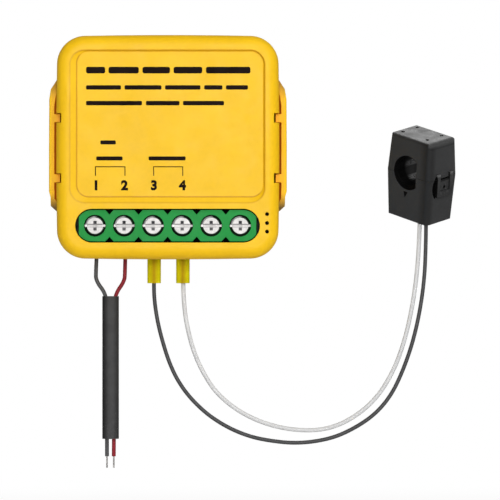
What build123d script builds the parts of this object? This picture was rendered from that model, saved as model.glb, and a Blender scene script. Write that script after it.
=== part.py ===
from build123d import *
import os
from math import tan, radians, degrees

# Smart energy monitor: a square in-wall meter module with a six-way screw terminal block, a short
# two-core mains lead, and a split-core current clamp on two thin leads.
# Millimetres. +Z up, the module's face looks along -Y, its flat back lies at Y = 0.
# Origin: centre of the flat back.

# ---------------------------------------------------------------- driving dimensions
BODY_W = 39.1          # module width (X)
BODY_H = 39.3          # module height (Z)
BODY_D = 18.0          # module depth (Y)
BODY_R = 5.0           # corner radius of the outline
BULGE = 0.25           # how far each side bows out at its middle
WALL = 1.5             # shell wall
FACE_R = 2.0           # rounding of the face's rim
SEAM_Y = -2.2          # joint between shell and rear cover
PANEL_DEPTH = 0.4      # face panel, below the face's rim

PITCH = 5.08           # terminal pitch
WAYS = 6
ROW_Z = -13.75         # height of the screw row
SLOT_L, SLOT_H = 32.26, 5.9
HEAD_R, HEAD_BORE_R = 1.83, 1.9
SHANK_R, NUT_R = 1.22, 1.25
WIRE_Y = -10.4         # depth at which the wires enter

CORE_D = 0.70          # mains core, outside diameter
LEAD_DARK_D = 0.70     # clamp lead, dark
LEAD_LIGHT_D = 0.76    # clamp lead, light
SHEATH_D = 2.94

CT_W, CT_D = 9.3, 6.5          # clamp, at its two ends
CT_WS, CT_DS = 10.05, 7.22     # clamp, at the parting plane
CT_TOP, CT_BOT, CT_SPLIT = 7.7, -7.45, 0.9
WIN_X, WIN_Z, WIN_R = -0.72, 1.27, 2.63  # conductor window
MOUTH_X, MOUTH_R, MOUTH_FLAT = -0.23, 3.12, 1.91   # its wider, flat-sided mouth on the front face
MOUTH_Y = -2.6                 # depth at which the mouth ends
HINGE_X, HINGE_R = -5.35, 0.8
CT_POS = (44.8, -8.0, -4.85)
CT_TURN, CT_TILT, CT_LEAN = -44.5, 20.5, 1.9   # about Z, then X, then Y

XS = [(i - (WAYS - 1) / 2) * PITCH for i in range(WAYS)]

parts = {}


def at_y(y):
    """Sketch plane facing the front, at depth y: local x is X, local y is Z."""
    return Plane(origin=(0, y, 0), x_dir=(1, 0, 0), z_dir=(0, -1, 0))


def slab(face, y_back, y_front):
    """Extrudes a face drawn in front view from y_back forward to y_front."""
    return extrude(at_y(y_back) * face, amount=y_back - y_front)


def bx(x0, x1, y0, y1, z0, z1):
    return Pos((x0 + x1) / 2, (y0 + y1) / 2, (z0 + z1) / 2) * Box(abs(x1 - x0), abs(y1 - y0), abs(z1 - z0))


def cyl_y(x, z, r, y0, y1):
    return Pos(x, (y0 + y1) / 2, z) * Rot(90, 0, 0) * Cylinder(r, abs(y1 - y0))


def cyl_z(x, y, r, z0, z1):
    return Pos(x, y, (z0 + z1) / 2) * Cylinder(r, abs(z1 - z0))


def cyl_x(y, z, r, x0, x1):
    return Pos((x0 + x1) / 2, y, z) * Rot(0, 90, 0) * Cylinder(r, abs(x1 - x0))


def pillow(w, h, r, bulge):
    """Rounded square whose four sides bow out a little."""
    a, b = w / 2 - bulge, h / 2 - bulge
    edges = [
        ThreePointArc((-a, -b), (0, -h / 2), (a, -b)),
        ThreePointArc((a, -b), (w / 2, 0), (a, b)),
        ThreePointArc((a, b), (0, h / 2), (-a, b)),
        ThreePointArc((-a, b), (-w / 2, 0), (-a, -b)),
    ]
    face = make_face(edges)
    return fillet(face.vertices(), r)


def one(shape):
    """The single solid of a shape."""
    s = shape.solids()
    if len(s) != 1:
        raise ValueError(f"expected one solid, got {len(s)}")
    return s[0]


# ---------------------------------------------------------------- front shell
shell = slab(pillow(BODY_W, BODY_H, BODY_R, BULGE), SEAM_Y, -BODY_D)
rim = shell.edges().filter_by(lambda e: abs(e.bounding_box().max.Y + BODY_D) < 1e-3)
shell = fillet(rim, FACE_R)
shell -= slab(pillow(BODY_W - 2 * WALL, BODY_H - 2 * WALL, BODY_R - WALL, BULGE), SEAM_Y, -BODY_D + WALL)
# shallow face panel: a steep step along its top and right, a gentle slope along its left and bottom
panel_out = at_y(-BODY_D) * Pos(0.03, 3.58) * RectangleRounded(34.0, 26.74, 2.6)
panel_in = at_y(-BODY_D + PANEL_DEPTH) * Pos(0.46, 3.99) * RectangleRounded(32.5, 25.4, 2.1)
shell -= loft([panel_out, panel_in], ruled=True)
# opening over the terminal block, with a small lead-in
shell -= slab(Pos(0, ROW_Z) * SlotOverall(SLOT_L, SLOT_H), -BODY_D + WALL + 0.5, -BODY_D - 0.1)
# three round holes beside it: two lamps and the reset pin
HOLE_X, HOLE_ZS, HOLE_R = 17.38, (-11.73, -13.30, -14.78), 0.34
for z in HOLE_ZS:
    shell -= cyl_y(HOLE_X, z, HOLE_R, -BODY_D - 0.5, -BODY_D + WALL + 0.5)
# guide for the reset pin
shell += cyl_y(HOLE_X, HOLE_ZS[2], 0.66, -BODY_D + WALL - 0.2, -10.0)
shell -= cyl_y(HOLE_X, HOLE_ZS[2], HOLE_R, -BODY_D - 0.5, -9.5)
# wire openings in the bottom wall
for x in XS:
    shell -= bx(x - 1.85, x + 1.85, WIRE_Y - 2.1, WIRE_Y + 2.1, -20.5, -17.5)
# side notches for the clips' prongs, and shallow seats for the clips' feet
NOTCH_ZS = ((4.26, 5.93), (-6.28, -4.59))
CLIP_Y0, CLIP_Y1 = -15.6, -4.6
for s in (-1, 1):
    for z0, z1 in NOTCH_ZS:
        shell -= bx(s * 18.60, s * 20.5, -BODY_D - 0.5, CLIP_Y1 + 0.1, z0, z1)
    for z0, z1 in ((7.7, 12.2), (-11.7, -8.4)):
        shell -= bx(s * 19.05, s * 20.5, CLIP_Y0 - 0.1, CLIP_Y1 + 0.1, z0, z1)
    # ledge behind each clip
    shell += bx(s * 18.8, s * 20.45, CLIP_Y1 + 0.2, SEAM_Y - 0.2, -9.8, 9.8)
# posts that hold the board against the rear cover's posts
for x, z in ((-15.4, 15.4), (15.4, 15.4)):
    shell += cyl_y(x, z, 1.4, -BODY_D + WALL - 0.2, -5.62)
# grooves that the rear cover's beads snap into
for s in (-1, 1):
    shell -= bx(-5.1, 5.1, -3.35, -2.75, s * 18.0, s * 18.42)
parts["front_shell"] = one(shell)

# ---------------------------------------------------------------- rear cover
cover = slab(pillow(BODY_W, BODY_H, BODY_R, BULGE), 0, SEAM_Y)
back_rim = cover.edges().filter_by(lambda e: abs(e.bounding_box().min.Y) < 1e-3)
cover = fillet(back_rim, 1.0)
lip = slab(pillow(BODY_W - 2 * WALL - 0.3, BODY_H - 2 * WALL - 0.3, BODY_R - WALL - 0.15, BULGE), SEAM_Y + 0.1, -3.6)
lip -= slab(pillow(BODY_W - 2 * WALL - 2.1, BODY_H - 2 * WALL - 2.1, BODY_R - WALL - 1.0, BULGE), SEAM_Y + 0.2, -3.7)
cover += lip
for s in (-1, 1):
    cover += bx(-5.0, 5.0, -3.3, -2.8, s * 17.9, s * 18.3)
for x, z in ((-14.6, 14.6), (14.6, 14.6), (-14.6, -14.6), (14.6, -14.6)):
    cover += cyl_y(x, z, 1.3, SEAM_Y + 0.1, -4.2)
parts["rear_cover"] = one(cover)

# ---------------------------------------------------------------- side clips
# a springy bow along each side; two prongs sit in the shell's notches, the feet in its seats
bow_out = [(19.42, 11.85), (20.50, 10.20), (20.80, 8.40), (20.85, 0.0), (20.85, -7.70), (20.56, -8.75), (20.52, -10.30),
           (19.42, -11.30)]
bow_in = [(19.42, -9.70), (19.84, -9.00), (19.90, -7.0), (19.90, 7.2), (19.62, 9.05), (19.42, 9.60)]
bow = make_face(Polyline(*(bow_out + bow_in), close=True))
clip = slab(bow, CLIP_Y1, CLIP_Y0)
for z0, z1 in NOTCH_ZS:
    clip += bx(18.90, 20.3, CLIP_Y0, CLIP_Y1, z0 + 0.12, z1 - 0.12)
outer_long = [e for e in clip.edges() if e.bounding_box().min.X > 20.3 and e.bounding_box().size.Z > 5 and e.bounding_box().size.Y < 0.01]
clip = fillet(outer_long, 0.3)
clip = one(clip)
parts["side_clip_right"] = clip
parts["side_clip_left"] = one(mirror(clip, about=Plane.YZ))

# ---------------------------------------------------------------- terminal block
block = bx(-15.24, 15.24, -15.2, -5.6, -17.7, -9.7)
neck = SlotOverall(31.9, 5.5) & Rectangle(31.0, 5.5)
for x in [(a + b) / 2 for a, b in zip(XS, XS[1:])]:
    for s in (-1, 1):
        neck -= make_face(Polyline((x - 0.82, s * 2.85), (x + 0.82, s * 2.85), (x, s * 1.93), close=True))
block += slab(Pos(0, ROW_Z) * neck, -15.1, -17.4)
for x in XS:
    block -= cyl_y(x, ROW_Z, HEAD_BORE_R, -15.5, -17.6)
    block -= cyl_y(x, ROW_Z, 1.3, -14.8, -15.7)
    block -= bx(x - 2.0, x + 2.0, -15.0, -7.6, -16.95, -11.25)
    block -= bx(x - 1.75, x + 1.75, -12.3, -8.0, -18.2, -16.9)
    block -= bx(x - 0.75, x + 0.75, -11.65, -5.4, -11.35, -10.35)
parts["terminal_block"] = one(block)

# fixed contacts: a bar inside each cage, and a leg down through the board
contacts = []
for x in XS:
    c = bx(x - 0.7, x + 0.7, -11.6, -10.9, -16.6, -10.5)
    c += bx(x - 0.7, x + 0.7, -11.6, -2.9, -11.1, -10.5)
    contacts.append(one(c))
parts["terminal_contacts"] = Compound(contacts)

# rising cages and screws; the first two are tightened further, on thinner conductors
RISE = [-0.55, -0.55, 0, 0, 0, 0]
for i, (x, dy) in enumerate(zip(XS, RISE), 1):
    cage = bx(x - 1.85, x + 1.85, -14.25 + dy, -9.15 + dy, -16.8, -11.4)
    cage -= bx(x - 1.35, x + 1.35, -13.05 + dy, -9.85 + dy, -17.0, -11.2)
    cage -= cyl_y(x, ROW_Z, NUT_R, -12.9 + dy, -14.4 + dy)
    parts[f"terminal_cage_{i}"] = one(cage)

    screw = cyl_y(x, ROW_Z, HEAD_R, -16.95, -15.6)
    top = [e for e in screw.edges() if abs(e.bounding_box().max.Y + 16.95) < 1e-3]
    screw = chamfer(top, 0.33)
    screw += cyl_y(x, ROW_Z, SHANK_R, -15.7, -11.75)
    screw -= bx(x - 2, x + 2, -17.1, -16.62, ROW_Z - 0.21, ROW_Z + 0.21)
    screw -= bx(x - 0.24, x + 0.24, -17.1, -16.2, ROW_Z - 0.85, ROW_Z + 0.85)
    parts[f"terminal_screw_{i}"] = one(screw)

# ---------------------------------------------------------------- circuit board and what stands on it
pcb = slab(RectangleRounded(35.4, 35.6, 3.2), -4.2, -5.6)
for x in XS:
    pcb -= bx(x - 0.85, x + 0.85, -6, -4, -11.25, -10.35)
parts["main_pcb"] = one(pcb)

# transformer: ferrite frame, bobbin with pin rails, winding
TX, TZ, TY = 0.6, 9.9, -11.0
core = bx(TX - 5, TX + 5, TY - 2.5, TY + 2.5, TZ - 5, TZ + 5)
for s in (-1, 1):
    core -= bx(TX + s * 1.3, TX + s * 3.8, TY - 3, TY + 3, TZ - 3.6, TZ + 3.6)
parts["transformer_core"] = one(core)
bob = bx(TX - 1.75, TX + 1.75, TY - 2.9, TY + 2.9, TZ - 3.5, TZ + 3.5)
for s in (-1, 1):
    bob += bx(TX - 3.7, TX + 3.7, -15.4, -5.6, TZ + s * 3.5, TZ + s * 3.05)
bob -= bx(TX - 1.33, TX + 1.33, TY - 2.53, TY + 2.53, TZ - 4, TZ + 4)
parts["transformer_bobbin"] = one(bob)
wind = bx(TX - 3.55, TX + 3.55, TY - 4.1, TY + 4.1, TZ - 2.95, TZ + 2.95)
wind = fillet(wind.edges().filter_by(Axis.Z), 1.2)
wind -= bx(TX - 1.8, TX + 1.8, TY - 2.95, TY + 2.95, TZ - 4, TZ + 4)
parts["transformer_winding"] = one(wind)

cap = cyl_x(-10.9, 9.2, 4.0, -16.6, -6.0)
cap = fillet([e for e in cap.edges() if e.bounding_box().size.X < 0.01], 0.4)
cap += bx(-6.2, -5.4, -11.6, -10.2, 8.9, 9.5) + bx(-5.9, -5.4, -11.6, -5.6, 8.9, 9.5)
parts["bulk_capacitor"] = one(cap)
ocap = cyl_y(13.2, 6.0, 2.5, -14.6, -5.6)
ocap = fillet([e for e in ocap.edges() if abs(e.bounding_box().max.Y + 14.6) < 1e-3], 0.4)
parts["output_capacitor"] = one(ocap)
parts["safety_capacitor"] = one(fillet(bx(-17.0, -7.2, -13.8, -5.6, -2.6, 2.2).edges().filter_by(Axis.Y), 0.4))
var = cyl_x(-9.9, -5.0, 3.4, -5.6, -2.8)
var = fillet([e for e in var.edges() if e.bounding_box().size.X < 0.01], 0.6)
var += bx(-4.5, -3.9, -7.0, -5.6, -6.8, -6.2) + bx(-4.5, -3.9, -7.0, -5.6, -3.8, -3.2)
parts["varistor"] = one(var)
res = cyl_x(-8.0, -6.4, 1.2, -15.4, -8.4)
res += bx(-16.0, -15.3, -8.25, -7.75, -6.65, -6.15) + bx(-16.0, -15.5, -8.25, -5.6, -6.65, -6.15)
res += bx(-8.5, -7.8, -8.25, -7.75, -6.65, -6.15) + bx(-8.3, -7.8, -8.25, -5.6, -6.65, -6.15)
parts["fusible_resistor"] = one(res)


def chip(x0, x1, z0, z1, n, h=1.5):
    """Small outline chip with n legs a side along z."""
    c = bx(x0, x1, -5.7 - h, -5.7, z0, z1)
    step = (z1 - z0) / n
    for i in range(n):
        z = z0 + (i + 0.5) * step
        for xa, xb in ((x0 - 0.8, x0 + 0.1), (x1 - 0.1, x1 + 0.8)):
            c += bx(xa, xb, -6.0, -5.6, z - 0.2, z + 0.2)
    return one(c)


parts["power_ic"] = chip(8.2, 12.0, 11.2, 16.0, 4)
parts["metering_ic"] = chip(-0.6, 3.2, -8.4, -0.6, 8)

radio = bx(7.2, 17.2, -6.5, -5.7, -8.8, 2.2)
parts["radio_board"] = one(radio)
can = bx(8.0, 16.4, -8.6, -6.52, -8.4, -1.6)
can -= bx(8.2, 16.2, -8.4, -6.4, -8.2, -1.8)
parts["radio_shield"] = one(can)
ant = bx(8.2, 8.6, -6.62, -6.52, -1.2, 1.8)
for i in range(6):
    x = 8.2 + i * 1.3
    z0, z1 = (1.4, 1.8) if i % 2 == 0 else (-1.2, -0.8)
    ant += bx(x, x + 1.7, -6.62, -6.52, z0, z1)
    ant += bx(x + 1.3, x + 1.7, -6.62, -6.52, -1.2, 1.8)
parts["radio_antenna"] = one(ant)

parts["status_leds"] = Compound([one(bx(17.05, 17.68, -6.2, -5.6, z - 0.5, z + 0.5)) for z in HOLE_ZS[:2]])
pipe = cyl_y(HOLE_X, HOLE_ZS[0], 0.28, -16.4, -6.3) + cyl_y(HOLE_X, HOLE_ZS[1], 0.28, -16.4, -6.3)
pipe += bx(HOLE_X - 0.3, HOLE_X + 0.3, -9.2, -8.4, HOLE_ZS[1] - 0.2, HOLE_ZS[0] + 0.2)
parts["light_pipe"] = one(pipe)
sw = bx(16.45, 17.65, -7.0, -5.6, HOLE_ZS[2] - 1.0, HOLE_ZS[2] + 0.7)
parts["reset_switch"] = one(sw)
pin = cyl_y(HOLE_X, HOLE_ZS[2], 0.29, -16.6, -7.3)
pin += cyl_y(HOLE_X, HOLE_ZS[2], 0.5, -9.97, -9.3)
parts["reset_plunger"] = one(pin)

# ---------------------------------------------------------------- leads


def tube(name, pts, d):
    """Lead of diameter d along straight runs joined by tangent arcs; prints its arc radii."""
    v = [Vector(*p) for p in pts]
    radii = []
    for a, b, c in zip(v, v[1:], v[2:]):
        turn = (b - a).get_angle(c - b)
        radii.append(0.45 * min((b - a).length, (c - b).length) / tan(radians(turn / 2)))
    path = FilletPolyline(*pts, radius=radii)
    section = Plane(origin=path @ 0, z_dir=path % 0) * Circle(d / 2)
    solid = one(sweep(section, path=path))
    area = 3.14159265 * d * d / 4
    print(name, "length", round(path.length, 2), "radii", [round(r, 1) for r in radii],
          "volume ratio", round(solid.volume / (area * path.length), 4))
    parts[name] = solid


LIVE = [(-12.62, -10.4, -17.5), (-12.86, -10.4, -20.4), (-12.79, -10.4, -23.3), (-10.98, -10.4, -25.9),
        (-10.88, -10.3, -54.45)]
NEUTRAL = [(-7.6, -10.4, -17.5), (-7.70, -10.4, -20.4), (-7.79, -10.4, -23.3), (-9.50, -10.4, -25.9),
           (-9.68, -10.3, -54.45)]
DARK = [(-2.54, -10.4, -20.3), (-2.62, -10.4, -23.9), (-2.46, -10.5, -27.6), (-1.57, -10.8, -32.46),
        (0.35, -11.2, -38.65), (2.76, -11.5, -42.87), (6.13, -11.8, -46.41), (9.52, -12.0, -48.76),
        (12.88, -12.0, -50.38), (16.59, -12.0, -51.46), (22.67, -11.9, -52.18), (28.74, -11.7, -51.31),
        (33.14, -11.4, -49.3), (36.64, -11.1, -46.86), (39.3, -10.8, -43.7), (41.26, -10.5, -39.73),
        (43.1, -10.0, -34.67), (44.45, -9.2, -29.11), (45.33, -8.3, -23.2), (45.62, -7.76, -17.3),
        (45.57, -9.49, -12.6)]
LIGHT = [(2.54, -10.4, -20.3), (2.58, -10.4, -23.9), (2.72, -10.3, -27.4), (3.15, -10.1, -31.0),
         (4.25, -9.8, -35.5), (5.9, -9.5, -39.42), (8.56, -9.2, -43.59), (13.16, -8.9, -47.14),
         (18.64, -8.7, -49.35), (24.4, -8.6, -50.12), (29.11, -8.5, -49.54), (33.55, -8.4, -47.26),
         (37.28, -8.3, -43.8), (40.08, -8.1, -39.02), (41.88, -7.9, -33.97), (43.2, -7.6, -28.26),
         (44.02, -7.2, -22.61), (44.46, -7.03, -17.0), (44.51, -8.77, -12.3)]
tube("live_core", LIVE, CORE_D)
tube("neutral_core", NEUTRAL, CORE_D)
tube("ct_lead_dark", DARK, LEAD_DARK_D)
tube("ct_lead_light", LIGHT, LEAD_LIGHT_D)

# copper of the mains cores: clamped in the block at the top, tinned at the stripped end
for name, x_top, x_in, x_bot in (("live_conductor", -12.7, -12.62, -10.88), ("neutral_conductor", -7.62, -7.6, -9.68)):
    parts[name] = Compound([
        one(cyl_z(x_in, -10.66, 0.2, -17.48, -12.6)),
        one(cyl_z(x_bot, -10.3, 0.14, -56.49, -54.45)),
    ])
sheath = cyl_z(-10.24, -10.4, SHEATH_D / 2, -51.34, -26.17) - cyl_z(-10.24, -10.4, 1.3, -52, -25)
parts["cable_sheath"] = one(sheath)

# crimped ferrules of the clamp leads
for i, x in ((1, XS[2]), (2, XS[3])):
    sleeve = cyl_z(x, WIRE_Y, 1.2, -23.87, -18.75)
    sleeve = fillet([e for e in sleeve.edges() if abs(e.bounding_box().min.Z + 23.87) < 1e-3], 0.12)
    sleeve -= cyl_z(x, WIRE_Y, 0.47, -24.5, -20.2)
    sleeve -= cyl_z(x, WIRE_Y, 0.5, -20.25, -18.0)
    parts[f"ferrule_sleeve_{i}"] = one(sleeve)
    parts[f"ferrule_pin_{i}"] = one(cyl_z(x, WIRE_Y + 0.01, 0.48, -20.2, -12.4))

# ---------------------------------------------------------------- split-core current clamp
# Built upright round its own centre: bore along Y, latch side at +X, hinge side at -X, then placed.


def plan(z, w, d, r=0.35, r_near=0.9):
    """Case outline at height z; the corner between the front and the latch side is rounder."""
    f = fillet(Rectangle(w, d).vertices().sort_by(lambda v: v.X - v.Y)[-1], r_near)
    sharp = [v for v in f.vertices() if abs(abs(v.X) - w / 2) < 1e-6 and abs(abs(v.Y) - d / 2) < 1e-6]
    return Pos(0, 0, z) * fillet(sharp, r)


def mouth(grow, y1):
    """Flat-sided mouth of the window, from in front of the case back to y1."""
    m = Pos(MOUTH_X, WIN_Z) * Circle(MOUTH_R + grow)
    m &= Pos(MOUTH_FLAT + grow - 5, WIN_Z) * Rectangle(10, 10)
    return extrude(Plane(origin=(0, -6, 0), x_dir=(1, 0, 0), z_dir=(0, -1, 0)) * m, amount=-(y1 + 6))


GAP = 0.02
window = Pos(WIN_X, 0, WIN_Z) * Rot(90, 0, 0) * Cylinder(WIN_R, 12) + mouth(0, MOUTH_Y)
lining = Pos(WIN_X, 0, WIN_Z) * Rot(90, 0, 0) * Cylinder(WIN_R + 0.28, 12) + mouth(0.27, MOUTH_Y + 0.3)
RIB_R, RIB_IN = 0.5, 2.42      # grip rib: its radius, and its nearest distance to the window's axis


def rib(angle_z, y0, y1):
    """Grip rib along the window's wall on the hinge side, at height angle_z over its centre."""
    c = RIB_IN + RIB_R
    dx = -((c ** 2 - angle_z ** 2) ** 0.5)
    r = Pos(WIN_X + dx, (y0 + y1) / 2, WIN_Z + angle_z) * Rot(90, 0, 0) * Cylinder(RIB_R, y1 - y0)
    return r & (Pos(WIN_X, 0, WIN_Z) * Rot(90, 0, 0) * Cylinder(WIN_R + 0.2, 12))


def knuckle(y0, y1, r=HINGE_R):
    return Pos(HINGE_X, (y0 + y1) / 2, CT_SPLIT) * Rot(90, 0, 0) * Cylinder(r, y1 - y0)


K_BASE = ((-2.0, -0.4), (1.4, 3.0))      # hinge knuckles on the base
K_JAW = ((-0.35, 1.35),)                 # knuckle on the jaw
pin_hole = Pos(HINGE_X, 0.5, CT_SPLIT) * Rot(90, 0, 0) * Cylinder(0.38, 8)
pin_fit = Pos(HINGE_X, 0.5, CT_SPLIT) * Rot(90, 0, 0) * Cylinder(0.355, 8)


def draft_w(z):
    """Case width and depth at height z."""
    t = (z - CT_BOT) / (CT_SPLIT - CT_BOT) if z < CT_SPLIT else (CT_TOP - z) / (CT_TOP - CT_SPLIT)
    return CT_W + (CT_WS - CT_W) * t, CT_D + (CT_DS - CT_D) * t


# base case
zs = CT_SPLIT - GAP
w1, d1 = draft_w(zs)
base = loft([plan(CT_BOT, CT_W, CT_D), plan(zs, w1, d1)], ruled=True)
low_w, low_d = draft_w(-6.95)
cavity = loft([plan(-6.95, low_w - 0.8, low_d - 0.9, 0.3, 0.5), plan(zs - 0.35, w1 - 0.8, d1 - 0.9, 0.3, 0.5)], ruled=True)
cavity -= lining
cavity -= bx(3.6, 6, -5, 5, -3.6, 3)              # solid behind the latch
cavity -= bx(-6, -4.33, -5, 5, -0.2, 3)           # solid behind the hinge
base -= cavity
for x0, x1 in ((-4.27, -3.67), (2.87, 3.47)):      # slots that the core's legs come up through
    base -= bx(x0 - 0.02, x1 + 0.02, -2.42, 2.42, -0.5, 2)
base -= window
low_rib = rib(-2.35, 0.62, 3.1)
for y0, y1 in K_BASE:
    base += knuckle(y0, y1)
    base += bx(HINGE_X, -4.7, y0, y1, CT_SPLIT - 0.8, zs)
for y0, y1 in K_JAW:
    base -= knuckle(y0 - 0.05, y1 + 0.05, HINGE_R + 0.1)
base += low_rib & bx(-6, 0, 0.62, 3.1, -3, zs)
base -= pin_fit
# latch seat, thumb scoop, arrow notch, lead holes
LATCH_Y0, LATCH_Y1, LATCH_Z0, LATCH_Z1 = -1.65, 2.3, -2.3, 1.85
LATCH_X = 5.42
base -= bx(4.50, 6, LATCH_Y0 - 0.06, LATCH_Y1 + 0.06, LATCH_Z0 - 0.06, 2)
# groove that the latch's rounded root turns in
ROOT_X, ROOT_Z, ROOT_R = 4.45, -2.0, 0.3
root_y = (LATCH_Y0 + LATCH_Y1) / 2
base -= Pos(ROOT_X, root_y, ROOT_Z) * Rot(90, 0, 0) * Cylinder(ROOT_R + 0.05, LATCH_Y1 - LATCH_Y0 + 0.12)
scoop = (Pos(4.95, 0.62, -0.55) * Rot(0, 90, 0) * Cylinder(3.1, 1.3)) & bx(4, 6, -4, LATCH_Y0 + 0.1, -5, 3)
base -= scoop
arrow = make_face(Polyline((-0.98, -2.3), (0.06, -2.3), (-0.67, -3.46), close=True))
base -= extrude(Plane(origin=(0, -4, 0), x_dir=(1, 0, 0), z_dir=(0, -1, 0)) * arrow, amount=-0.72)
EXIT_DARK, EXIT_LIGHT = (3.6, -2.2), (2.3, -2.4)
base -= cyl_z(*EXIT_DARK, 0.44, -8, -6.4)
base -= cyl_z(*EXIT_LIGHT, 0.47, -8, -6.4)

# jaw case
zj = CT_SPLIT + GAP
w2, d2 = draft_w(zj)
jaw = loft([plan(zj, w2, d2), plan(CT_TOP, CT_W, CT_D)], ruled=True)
jaw = fillet(jaw.faces().sort_by(Axis.Z)[-1].edges(), 0.28)
# broad rounding along the top edge on the latch side
side = fillet((Pos(CT_W / 2 + 0.12 - 10, CT_TOP - 10) * Rectangle(20, 20)).vertices().sort_by(lambda v: v.X + v.Y)[-1], 0.95)
jaw &= extrude(Plane(origin=(0, 6, 0), x_dir=(1, 0, 0), z_dir=(0, -1, 0)) * side, amount=12) + bx(-9, 9, -6, 6, -2, CT_TOP - 1.3)
top_w, top_d = draft_w(6.9)
hollow = loft([plan(zj + 0.35, w2 - 0.8, d2 - 0.9, 0.3, 0.5), plan(6.9, top_w - 1.1, top_d - 0.9, 0.3, 0.5)], ruled=True)
hollow -= lining
jaw -= hollow
for x0, x1 in ((-4.27, -3.67), (2.87, 3.47)):
    jaw -= bx(x0 - 0.02, x1 + 0.02, -2.42, 2.42, 0, 1.6)
jaw -= window
jaw += rib(0.3, 0.62, 3.1) & bx(-6, 0, 0.62, 3.1, zj, 4)
for y0, y1 in K_BASE:
    jaw -= knuckle(y0 - 0.05, y1 + 0.05, HINGE_R + 0.1)
for y0, y1 in K_JAW:
    jaw += knuckle(y0, y1)
    jaw += bx(HINGE_X, -4.7, y0, y1, zj, CT_SPLIT + 0.8)
jaw -= pin_hole
# catch between the latch's prongs
jaw += bx(4.7, 5.10, -0.75, 1.4, zj + 0.1, 1.3)
jaw -= scoop
for x, y in ((-3.45, -1.55), (-3.45, 2.15), (2.4, -1.55), (2.4, 2.15)):
    jaw -= cyl_z(x, y, 0.33, 7.2, 8.2)

# latch: a sprung plate with two prongs
latch = bx(4.62, LATCH_X, LATCH_Y0, LATCH_Y1, LATCH_Z0, 0.80)
latch -= bx(LATCH_X - 0.16, 6, LATCH_Y0 + 0.78, LATCH_Y1 - 0.78, -1.3, 2)
for y0, y1 in ((LATCH_Y0, LATCH_Y0 + 0.78), (LATCH_Y1 - 0.78, LATCH_Y1)):
    latch += bx(5.08, LATCH_X, y0, y1, 0.5, LATCH_Z1)
latch += bx(ROOT_X, 4.9, LATCH_Y0, LATCH_Y1, ROOT_Z - 0.28, ROOT_Z + 0.28)
latch += Pos(ROOT_X, root_y, ROOT_Z) * Rot(90, 0, 0) * Cylinder(ROOT_R, LATCH_Y1 - LATCH_Y0)
latch -= Pos(LATCH_X, 0.25, -0.65) * Rot(0, 90, 0) * Cylinder(0.25, 0.8)
latch = one(latch)

hinge_pin = Pos(HINGE_X, 0.5, CT_SPLIT) * Rot(90, 0, 0) * Cylinder(0.35, 5.1)

core_low = bx(-4.27, -3.67, -2.4, 2.4, -4.95, CT_SPLIT - GAP) + bx(2.87, 3.47, -2.4, 2.4, -4.95, CT_SPLIT - GAP)
core_low += bx(-4.27, 3.47, -1.6, 1.6, -4.95, -4.05)
core_up = bx(-4.14, -3.67, -2.4, 2.4, CT_SPLIT + GAP, 5.6) + bx(2.87, 3.47, -2.4, 2.4, CT_SPLIT + GAP, 5.6)
core_up += bx(-4.14, 3.47, -2.4, 2.4, 4.75, 5.6)

bobbin = bx(-3.4, 2.6, -1.95, 1.95, -5.3, -3.7)
for x0, x1 in ((-3.6, -3.25), (2.45, 2.8)):
    bobbin += bx(x0, x1, -2.5, 2.5, -6.4, -2.4)
bobbin -= bx(-4, 3, -1.63, 1.63, -4.98, -4.02)
coil = bx(-3.2, 2.4, -2.4, 2.4, -6.2, -2.6)
coil = fillet(coil.edges().filter_by(Axis.X), 0.6)
coil -= bx(-4, 3, -1.98, 1.98, -5.33, -3.67)

place = Pos(*CT_POS) * Rot(0, CT_LEAN, 0) * Rot(CT_TILT, 0, 0) * Rot(0, 0, CT_TURN)
for name, shape in (
    ("ct_base_case", base), ("ct_jaw_case", jaw), ("ct_latch", latch), ("ct_hinge_pin", hinge_pin),
    ("ct_core_lower", core_low), ("ct_core_upper", core_up), ("ct_bobbin", bobbin), ("ct_winding", coil),
):
    parts[name] = one(place * shape)

# ---------------------------------------------------------------- write
os.makedirs("parts", exist_ok=True)
for name, shape in parts.items():
    export_step(shape, f"parts/{name}.step")
print(len(parts), "nodes")
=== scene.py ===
import bpy, bmesh, math
from mathutils import Vector, Matrix


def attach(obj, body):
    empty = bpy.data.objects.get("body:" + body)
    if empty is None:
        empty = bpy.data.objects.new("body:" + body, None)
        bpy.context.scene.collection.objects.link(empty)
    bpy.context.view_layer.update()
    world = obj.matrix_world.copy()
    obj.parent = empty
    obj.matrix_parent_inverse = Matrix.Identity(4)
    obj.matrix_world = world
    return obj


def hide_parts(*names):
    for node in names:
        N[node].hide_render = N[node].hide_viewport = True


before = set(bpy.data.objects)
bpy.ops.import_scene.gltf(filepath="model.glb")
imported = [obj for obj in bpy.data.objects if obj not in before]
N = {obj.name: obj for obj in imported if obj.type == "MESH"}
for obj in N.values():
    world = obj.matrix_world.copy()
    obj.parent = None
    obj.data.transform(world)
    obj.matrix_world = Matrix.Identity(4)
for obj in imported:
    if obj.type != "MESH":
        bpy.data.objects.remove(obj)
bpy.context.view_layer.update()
scene = bpy.context.scene


# ------------------------------------------------------------------ camera
# A long lens straight in front of the module's face. 5.73 photo pixels a millimetre at the face.
def camera():
    data = bpy.data.cameras.new("camera")
    data.lens, data.sensor_width = 247.5, 36.0
    data.clip_start, data.clip_end = 0.05, 20.0
    obj = bpy.data.objects.new("camera", data)
    obj.location = (0.0144, -0.618, -0.018)
    obj.rotation_euler = (math.radians(90), 0, 0)
    scene.collection.objects.link(obj)
    scene.camera = obj


camera()
S = 5.73                     # pixels a millimetre at y = -18 mm


def at_px(px, py, y=-18.0):
    """Place in metres of a photo pixel at depth y (mm)."""
    s = S * 600.0 / (y + 618.0)
    return Vector((14.4 + (px - 250) / s, y, -18.0 - (py - 250) / s)) / 1000


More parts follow.
